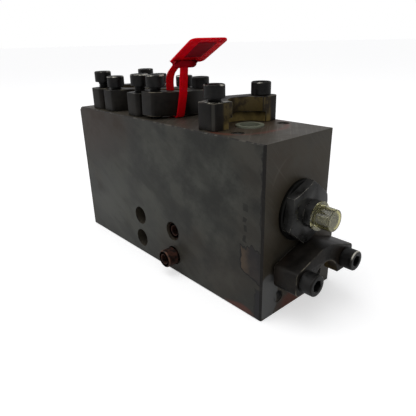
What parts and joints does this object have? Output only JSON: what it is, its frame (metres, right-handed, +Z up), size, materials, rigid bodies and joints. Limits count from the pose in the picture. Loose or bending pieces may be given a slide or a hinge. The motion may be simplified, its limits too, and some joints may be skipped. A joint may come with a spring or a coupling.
{
  "type": "hydraulic selector valve",
  "caption": "Pilot-shifted spool selector valve block with split-flange ports, loose flange screws, capped pilot port and a looped tag.",
  "frame": {"origin": "centre of the valve block's bottom face", "axes": "+X towards the pilot end, -Y the face with the counterbored mounting holes, +Z up through the three top ports"},
  "size_m": [0.3072, 0.113, 0.1982],
  "materials": {
    "block_steel": "dark oily machined steel, worn chamfers, brown rust stains",
    "flange_steel": "forged steel, dark, olive-brown inside",
    "screw_black": "black oxide, shiny worn rims",
    "screw_rusty": "rusted steel",
    "plug_black": "black oxide hexagon plug with worn corners",
    "spool_steel": "ground and lapped steel",
    "spring_steel": "drawn spring steel",
    "seal_rubber": "nitrile rubber",
    "cap_plastic": "pale olive translucent plastic",
    "plug_plastic": "milky translucent plastic",
    "tag_plastic": "saturated red moulded plastic"
  },
  "bodies": {
    "valve": {"valve_block": "block_steel", "gallery_plugs": "block_steel", "flange_a_left": "flange_steel", "flange_a_right": "flange_steel", "flange_b_left": "flange_steel", "flange_b_right": "flange_steel", "flange_c_left": "flange_steel", "flange_d_upper": "flange_steel", "flange_a_screws": "screw_black", "flange_b_screws": "screw_black", "flange_c_screws": "screw_black", "flange_d_screws": "screw_black", "pilot_end_plug": "plug_black", "spring_end_plug": "plug_black", "pilot_adapter": "plug_black", "return_spring": "spring_steel", "pilot_adapter_washer": "spring_steel", "spring_plug_seal": "seal_rubber", "pilot_plug_seal": "seal_rubber", "inlet_ring": "seal_rubber"},
    "spool": {"main_spool": "spool_steel", "spring_seat": "spool_steel"},
    "cap": {"pilot_cap": "cap_plastic"},
    "plug_a": {"port_plug_a": "plug_plastic"},
    "plug_b": {"port_plug_b": "plug_plastic"},
    "plug_c": {"port_plug_c": "plug_plastic"},
    "plug_d": {"port_plug_d": "plug_plastic"},
    "plug_inlet": {"port_plug_inlet": "plug_plastic"},
    "screw_upper": {"mounting_screw_upper": "screw_rusty"},
    "screw_lower": {"mounting_screw_lower": "screw_rusty"},
    "tag": {"identity_tag": "tag_plastic"}
  },
  "joints": [
    {"name": "spool_shift", "type": "slide", "parent": "valve", "child": "spool", "axis": [-1, 0, 0], "range_m": [0, 0.009], "stiffness_N_per_m": 6000, "springref_m": -0.009, "deforming": ["return_spring"]},
    {"name": "cap_pull", "type": "slide", "parent": "valve", "child": "cap", "axis": [1, 0, 0], "range_m": [0, 0.02]},
    {"name": "plug_a_lift", "type": "slide", "parent": "valve", "child": "plug_a", "axis": [0, 0, 1], "range_m": [0, 0.03]},
    {"name": "plug_b_lift", "type": "slide", "parent": "valve", "child": "plug_b", "axis": [0, 0, 1], "range_m": [0, 0.03]},
    {"name": "plug_c_lift", "type": "slide", "parent": "valve", "child": "plug_c", "axis": [0, 0, 1], "range_m": [0, 0.03]},
    {"name": "plug_d_pull", "type": "slide", "parent": "valve", "child": "plug_d", "axis": [1, 0, 0], "range_m": [0, 0.03]},
    {"name": "plug_inlet_pull", "type": "slide", "parent": "valve", "child": "plug_inlet", "axis": [0, 1, 0], "range_m": [0, 0.03]},
    {"name": "screw_upper_slide", "type": "slide", "parent": "valve", "child": "screw_upper", "axis": [0, -1, 0], "range_m": [0, 0.03]},
    {"name": "screw_lower_slide", "type": "slide", "parent": "valve", "child": "screw_lower", "axis": [0, -1, 0], "range_m": [-0.013, 0.017]},
    {"name": "tag_slide", "type": "slide", "parent": "valve", "child": "tag", "axis": [0.2588, 0.9659, 0], "range_m": [0, 0.002]}
  ]
}
